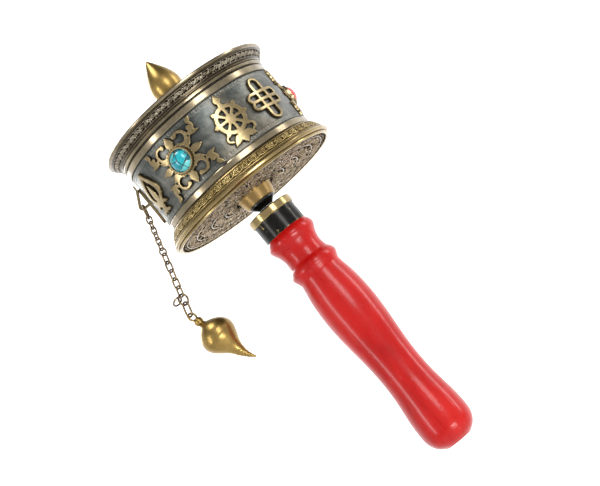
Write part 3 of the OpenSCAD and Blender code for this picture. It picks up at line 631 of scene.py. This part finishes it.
def pierced_plate():
    """The base plate: openwork scrolls in rings round the collar, with the metal between them sunk in blind
    pockets from below, which the finish paints near black as shade so that they read as piercing.
    """
    repeats, columns, rows = 14, 84, 128
    inner, outer = BUSH_R + 0.05, PLATE_R
    deep, proud = 0.9, 1.2
    sector = 2 * math.pi / repeats

    def polar(radius, turn):
        a = turn * sector
        return (radius * math.sin(a), radius * math.cos(a))

    def swirl(radius, turn, size, start, turns):
        x, y = polar(radius, turn)
        return curl(x, y, size, size * 0.16, start - math.degrees(turn * sector), turns, 18)

    def arc(radius, shift):
        return [polar(radius, t + shift) for t in np.linspace(0, 1, 9)]

    strokes = []
    for shift in (-1, 0, 1):
        strokes += [
            (swirl(12.4, 0.5 + shift, 1.7, -90, 1.3), 0.42, 0.3),
            ([polar(10.2, shift), polar(12.2, shift + 0.06), polar(14.6, shift)], 0.5, 0.25),
            (swirl(18.6, 0.27 + shift, 2.0, 70, 1.5), 0.5, 0.32),
            (swirl(18.9, 0.75 + shift, 1.8, 110, -1.5), 0.48, 0.3),
            ([polar(16.4, shift), polar(18.4, shift + 0.02), polar(21.4, shift - 0.05)], 0.6, 0.25),
            ([polar(16.2, 0.5 + shift), polar(21.8, 0.5 + shift)], 0.3, 0.5),
            (swirl(25.7, 0.25 + shift, 2.5, -60, 1.6), 0.55, 0.36),
            (swirl(26.1, 0.76 + shift, 2.2, 240, -1.6), 0.52, 0.34),
            ([polar(23.2, 0.5 + shift), polar(25.6, 0.53 + shift), polar(29.4, 0.5 + shift)], 0.3, 0.62),
            ([polar(23.4, shift), polar(26.2, 0.02 + shift), polar(29.6, shift)], 0.62, 0.3),
            (swirl(32.6, 0.14 + shift, 1.7, 40, 1.4), 0.46, 0.32),
            (swirl(32.9, 0.48 + shift, 1.5, 160, -1.4), 0.44, 0.3),
            (swirl(32.5, 0.81 + shift, 1.7, 300, 1.4), 0.46, 0.32),
            ([polar(30.8, 0.31 + shift), polar(34.6, 0.3 + shift)], 0.34, 0.5),
            ([polar(30.8, 0.66 + shift), polar(34.6, 0.65 + shift)], 0.5, 0.34),
            ([polar(30.8, 0.98 + shift), polar(34.6, 0.99 + shift)], 0.42, 0.42),
        ]
        strokes += [(dot(*polar(36.2, k / 5 + shift)), 0.62, 0.62) for k in range(5)]
        strokes += [(dot(*polar(9.9, k / 2 + shift)), 0.5, 0.5) for k in range(2)]
        strokes += [(arc(r, shift), w, w) for r, w in ((15.3, 0.34), (22.5, 0.38), (30.1, 0.36), (35.2, 0.3))]
    u = np.linspace(0, 1, columns, endpoint=False)
    r = np.linspace(inner, outer, rows)
    x = r[None, :] * np.sin(u * sector)[:, None]
    y = r[None, :] * np.cos(u * sector)[:, None]
    wire = stroke_height(x, y, strokes)
    wide_strokes = [(p, a + 0.16, b + 0.16) for p, a, b in strokes]
    near = stroke_height(x, y, wide_strokes)
    solid_edge = (r > outer - 0.7) | (r < COLLAR_R + 0.2)
    pocket = np.clip((0.35 - near) / 0.35, 0, 1) * ~solid_edge[None, :]
    pocket[(pocket > 0) & (pocket < 0.2)] = 0.2
    drop = wire * proud - pocket * deep
    # the pockets carry a negative relief mark, which the finish paints near black as painted shade
    relief = np.where(pocket > 0, -pocket, wire)
    a = ((np.arange(repeats)[:, None] + u[None, :]).reshape(-1) * sector)[:, None]
    drop, relief = np.tile(drop, (repeats, 1)), np.tile(relief, (repeats, 1))
    under = np.stack([r * np.sin(a), -r * np.cos(a), PLATE_Z - drop], -1)
    n = len(a)
    top = np.stack([r[[0, -1]] * np.sin(a), -r[[0, -1]] * np.cos(a), np.full((n, 2), PLATE_TOP)], -1)
    i = np.arange(n)
    j = (i + 1) % n
    grid_i, k = np.meshgrid(i, np.arange(rows - 1), indexing="ij")
    grid_j = (grid_i + 1) % n
    faces = np.stack([grid_i * rows + k, grid_j * rows + k, grid_j * rows + k + 1, grid_i * rows + k + 1], -1)
    faces = faces[:, :, ::-1].reshape(-1, 4)
    t = n * rows
    flat = np.stack([t + 2 * i, t + 2 * i + 1, t + 2 * j + 1, t + 2 * j], -1)[:, ::-1]
    hub = np.stack([i * rows, t + 2 * i, t + 2 * j, j * rows], -1)
    edge = np.stack([i * rows + rows - 1, j * rows + rows - 1, t + 2 * j + 1, t + 2 * i + 1], -1)
    points = np.concatenate([under.reshape(-1, 3), top.reshape(-1, 3)])
    faces = np.concatenate([faces, flat, hub[:, ::-1], edge[:, ::-1]])
    marks = {"relief": np.concatenate([relief.reshape(-1), np.zeros(2 * n)])}
    piece = new_piece("filigree_plate", points, faces, "copper_filigree", "drum", marks)
    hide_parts("base_plate")


def stamped_work():
    """All rings of stamped ornament on the lid, the base and the field."""
    cove = [(WALL_R + 1.28, COVE_Z + COVE_H * 0.24), (WALL_R + 1.7, COVE_Z + COVE_H * 0.45),
            (RIM_R - 2, COVE_Z + COVE_H * 0.75), (RIM_R - 1.4, COVE_Z + COVE_H * 0.86)]
    ring = stamped_ring("cove_frieze", cove, 72, 26, 28, running_scroll, 0.28, "lid_frieze", "lid")
    flange = [(RIM_R - 1.15, FLANGE_Z + FLANGE_H * 0.07), (RIM_R - 1.7, FLANGE_Z + FLANGE_H * 0.32),
              (RIM_R - 2.6, FLANGE_Z + FLANGE_H * 0.66), (RIM_R - 3.35, RIM_TOP - 0.5)]
    ring = stamped_ring("flange_frieze", flange, 54, 30, 32, base_scroll, 0.3, "rim_frieze", "drum")
    for name, start, way in (("fret_low", FIELD_Z0 + 0.4, 1), ("fret_high", FIELD_Z1 - 0.4, -1)):
        edge = sorted([start, start + way * 2.2])
        outline = [(WALL_R + 0.02, edge[0]), (WALL_R + 0.02, edge[1])]
        stamped_ring(name, outline, 90, 14, 12, fret, 0.1, "pewter", "drum")
    r, z = LID_PLATE_R, LID_PLATE_Z
    tops = [("lid_border", [(r - 0.5, z + 1.21), (r * 0.87, z + 1.24)], 60, 24, 24, running_scroll, 0.34),
            ("lid_petals", [(r * 0.79, z + 2.11), (r * 0.57, z + 2.48)], 16, 40, 44, petals, 0.3),
            ("lid_hub_petals", [(r * 0.475, z + 3.23), (r * 0.31, z + 3.58)], 12, 26, 36, petals, 0.26)]
    for name, outline, repeats, rows, columns, art, height in tops:
        ring = stamped_ring(name, outline, repeats, rows, columns, art, height, "lid_frieze", "lid")


def bead(points, faces, centre, axis, size):
    """Adds a small dome, flat side inwards, to a growing mesh."""
    rings, sides = 5, 8
    axis = np.asarray(axis, float) / np.linalg.norm(axis)
    side = np.cross(axis, [0, 0, 1.0] if abs(axis[2]) < 0.9 else [1.0, 0, 0])
    side /= np.linalg.norm(side)
    other = np.cross(axis, side)
    first = len(points)
    for k in range(rings):
        lift = math.pi / 2 * k / rings
        for s in range(sides):
            a = 2 * math.pi * s / sides
            flat = size * math.cos(lift) * (math.cos(a) * side + math.sin(a) * other)
            points.append(centre + flat + axis * size * math.sin(lift))
    points.append(centre + axis * size)
    for k in range(rings - 1):
        for s in range(sides):
            n = (s + 1) % sides
            faces.append((first + k * sides + s, first + k * sides + n,
                          first + (k + 1) * sides + n, first + (k + 1) * sides + s))
    tip = first + rings * sides
    last = first + (rings - 1) * sides
    faces.extend((last + s, last + (s + 1) % sides, tip) for s in range(sides))


def ring_of_beads(name, azimuth, radius, size, count, out_r, slot):
    """A ring of beads round a stone, standing on the drum's wall."""
    points, faces = [], []
    a = math.radians(azimuth)
    outward = np.array([math.sin(a), -math.cos(a), 0])
    across = np.array([math.cos(a), math.sin(a), 0])
    for k in range(count):
        t = 2 * math.pi * k / count
        u, v = radius * math.cos(t), radius * math.sin(t)
        depth = math.sqrt(out_r ** 2 - u ** 2)
        centre = outward * depth + across * u + np.array([0, 0, FIELD_MID + v])
        bead(points, faces, centre, outward, size)
    new_piece(name, points, faces, slot, "drum")


def bead_work():
    """Bead rings: round each stone, and round the collar's foot on the lid."""
    for k, turn in enumerate(STONE_TURNS):
        ring_of_beads(f"stone_beads_{k + 1}", turn, 5.75, 0.42, RING_BEADS, WALL_R + 1.05, "relief_brass")
    points, faces = [], []
    for k in range(RING_BEADS):
        place = on_drum(np.array(k * 360 / RING_BEADS), 6.05, high("lid_bush") - 1.05)
        bead(points, faces, place, place * [1, 1, 0], 0.5)
    new_piece("bush_beads", points, faces, "brass", "lid")


# ---- cast ornaments ----


def cast_copy(node, body, slot, softness):
    """The node's own shape with its edges melted round, as a casting's are."""
    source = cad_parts[node]
    piece = bpy.data.objects.new(node + "_cast", source.data.copy())
    bpy.context.scene.collection.objects.link(piece)
    grid = piece.modifiers.new("grid", "REMESH")
    grid.mode = "VOXEL"
    grid.voxel_size = CAST_GRAIN * MM
    soft = piece.modifiers.new("soft", "SMOOTH")
    soft.factor = 0.5
    soft.iterations = softness
    lighter = piece.modifiers.new("lighter", "DECIMATE")
    lighter.ratio = CAST_KEPT
    bpy.context.view_layer.update()
    made = bpy.data.meshes.new_from_object(piece.evaluated_get(bpy.context.evaluated_depsgraph_get()))
    piece.modifiers.clear()
    piece.data = made
    made.materials.clear()
    made.materials.append(FINISH[slot])
    made.polygons.foreach_set("use_smooth", [True] * len(made.polygons))
    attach(piece, body)
    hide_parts(node)


def cast_ornaments():
    for k in (1, 2, 3):
        cast_copy(f"rosette_{k}", "drum", "relief_brass", 6)
    for k in range(1, 7):
        cast_copy(f"relief_{k}", "drum", "relief_brass", 5)


# ---- inside the drum ----


def rolled_paper():
    """The paper roll: its ends show the spiral of its turns, a little uneven."""
    pitch, sides, steps = 0.62, 120, 5
    turns = int((SCROLL_R - CORE_R) / pitch)
    rows = turns * steps
    rng = np.random.default_rng(7)
    slip = np.repeat(rng.normal(0, 0.08, turns + 2), steps)[:rows + 1]
    u = np.arange(sides) / sides
    k = np.arange(rows + 1)
    r = CORE_R + 0.05 + (SCROLL_R - CORE_R - 0.1) * k / rows
    phase = (k[None, :] / steps - u[:, None]) % 1
    groove = np.clip(1 - np.abs(phase - 0.5) * 2 * 3.0, 0, 1)
    top_z = SCROLL_Z1 - 0.25 - groove * 0.4 + np.clip(slip, -0.2, 0.2)[None, :]
    foot_z = SCROLL_Z0 + 0.3 + groove * 0.2
    a = 2 * math.pi * u[:, None]
    top = np.stack([r * np.sin(a), -r * np.cos(a), top_z], -1)
    foot = np.stack([r * np.sin(a), -r * np.cos(a), foot_z], -1)
    n, m = sides, rows + 1
    i, j = np.arange(n), (np.arange(n) + 1) % n
    gi, gk = np.meshgrid(i, np.arange(rows), indexing="ij")
    gj = (gi + 1) % n
    upper = np.stack([gi * m + gk, gi * m + gk + 1, gj * m + gk + 1, gj * m + gk], -1).reshape(-1, 4)[:, ::-1]
    lower = upper[:, ::-1] + n * m
    skin = np.stack([i * m + rows, n * m + i * m + rows, n * m + j * m + rows, j * m + rows], -1)
    bore = np.stack([i * m, j * m, n * m + j * m, n * m + i * m], -1)
    points = np.concatenate([top.reshape(-1, 3), foot.reshape(-1, 3)])
    faces = np.concatenate([upper, lower, skin, bore])
    # the groove mark is what the paper finish darkens as painted shade
    marks = {"relief": np.concatenate([groove.reshape(-1), groove.reshape(-1)])}
    piece = new_piece("paper_roll", points, faces, "paper", "drum", marks)
    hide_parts("paper_scroll")


def cloth_round_paper():
    """The wrap: one width of cloth wound round the roll with its end lapped over, gently rucked."""
    lap, columns, rows = 1.06, 420, 44
    height = WRAP_Z1 - WRAP_Z0 - 0.6
    inside = SCROLL_R + 0.25
    u, v = np.meshgrid(np.linspace(0, lap, columns), np.linspace(0, 1, rows), indexing="ij")
    ruck = 0.16 * np.sin(2 * math.pi * (9 * u + 1.4 * v)) * np.sin(math.pi * v) ** 0.5
    ruck += 0.08 * np.sin(2 * math.pi * (23 * u - 0.8 * v))
    over = 0.55 * np.clip((u - 0.97) / 0.05, 0, 1)
    r = inside + 0.3 + ruck + over
    a = 2 * math.pi * u
    z = WRAP_Z0 + 0.3 + height * v + 0.12 * np.sin(2 * math.pi * 5 * u) * (2 * v - 1)
    points = np.stack([r * np.sin(a), -r * np.cos(a), z], -1).reshape(-1, 3)
    i, k = np.meshgrid(np.arange(columns - 1), np.arange(rows - 1), indexing="ij")
    faces = np.stack([i * rows + k, (i + 1) * rows + k, (i + 1) * rows + k + 1, i * rows + k + 1], -1)
    width = 2 * math.pi * (inside + 0.3) * lap
    threads = 2 * math.pi / 0.35
    marks = {"around": (u * width / lap * threads).reshape(-1), "along": (v * height * threads).reshape(-1)}
    piece = new_piece("cloth_wrap", points, faces.reshape(-1, 4), "wrap_cloth", "drum", marks)
    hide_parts("scroll_wrap")
    width * MM


# ---- finishes on the frame's own nodes ----


def dress_nodes():
    """Puts each slot's finish on the frame's own nodes."""
    special = {"lid_rim": "lid_nickel", "base_collar": "collar_brass"}
    for name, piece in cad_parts.items():
        for slot in piece.material_slots:
            slot.material = FINISH[special.get(name, slot.material.name.split(".")[0])]


# ---- camera, light and backdrop ----


def make_camera():
    """The camera stands a little under the drum, rolled so that the handle runs to the lower right."""
    pitch, roll, yaw = (math.radians(angle) for angle in CAMERA_TURN)
    ahead = Vector((math.sin(yaw) * math.cos(pitch), math.cos(yaw) * math.cos(pitch), math.sin(pitch)))
    right = Vector((math.cos(yaw), -math.sin(yaw), 0))
    up = right.cross(ahead)
    across = math.cos(roll) * right + math.sin(roll) * up
    upward = math.cos(roll) * up - math.sin(roll) * right
    lens = bpy.data.cameras.new("camera")
    lens.lens = 82.86
    lens.sensor_width = 36
    lens.clip_start, lens.clip_end = 0.01, 60
    camera = bpy.data.objects.new("camera", lens)
    turn = Matrix((across, upward, -ahead)).transposed().to_4x4()
    camera.matrix_world = Matrix.Translation(CAMERA_PLACE) @ turn
    bpy.context.scene.collection.objects.link(camera)
    bpy.context.scene.camera = camera


def soft_light(name, place, size, watts):
    light = bpy.data.lights.new(name, "AREA")
    light.shape = "RECTANGLE"
    light.size, light.size_y = size
    light.energy = watts
    lamp = bpy.data.objects.new(name, light)
    lamp.location = place
    lamp.rotation_euler = (Vector(LIGHTS_AIM) - Vector(place)).to_track_quat("-Z", "Y").to_euler()
    bpy.context.scene.collection.objects.link(lamp)


def make_stage():
    """A white bowl: a floor well below, sweeping up into a wall all round."""
    floor_z, flat_r, wall_r, wall_top = -0.7, 1.6, 2.8, 3.4
    bend_r = wall_r - flat_r
    outline = [(0.0, floor_z)] + [(flat_r * k / 4, floor_z) for k in range(1, 5)]
    outline += [(flat_r + bend_r * math.sin(t), floor_z + bend_r * (1 - math.cos(t)))
                for t in np.linspace(0.1, math.pi / 2, 14)]
    outline += [(wall_r, wall_top)]
    sides = 96
    points, faces = [(0, 0, floor_z)], []
    for r, z in outline[1:]:
        points += [(r * math.cos(2 * math.pi * s / sides), r * math.sin(2 * math.pi * s / sides), z)
                   for s in range(sides)]
    for s in range(sides):
        n = (s + 1) % sides
        faces.append((0, 1 + s, 1 + n))
        for k in range(len(outline) - 2):
            a, b = 1 + k * sides, 1 + (k + 1) * sides
            faces.append((a + s, b + s, b + n, a + n))
    mesh = bpy.data.meshes.new("backdrop")
    mesh.from_pydata(points, [], faces)
    mesh.polygons.foreach_set("use_smooth", [True] * len(mesh.polygons))
    mesh.materials.append(backdrop_white("backdrop_white"))
    bowl = bpy.data.objects.new("backdrop", mesh)
    bpy.context.scene.collection.objects.link(bowl)


def make_lights():
    world = bpy.data.worlds.new("studio")
    bpy.context.scene.world = world
    world.use_nodes = True
    background = world.node_tree.nodes["Background"]
    background.inputs["Color"].default_value = (1, 1, 1, 1)
    background.inputs["Strength"].default_value = 0.2
    soft_light("key", (0.45, -1.05, 0.50), (0.35, 0.8), 8)
    soft_light("left_strip", (-0.95, -0.60, 0.25), (0.14, 0.9), 5)
    soft_light("right_strip", (1.0, -0.05, 0.3), (0.16, 0.8), 4)
    soft_light("top", (-0.1, -0.15, 1.1), (0.35, 0.35), 5)
    soft_light("under", (0.30, -0.75, -0.45), (0.35, 0.16), 3.5)
    soft_light("back", (-0.5, 0.9, 0.6), (0.3, 0.6), 3)
    bpy.context.scene.view_settings.view_transform = "Standard"


dress_nodes()
pierced_plate()
stamped_work()
bead_work()
cast_ornaments()
rolled_paper()
cloth_round_paper()
make_camera()
make_stage()
make_lights()
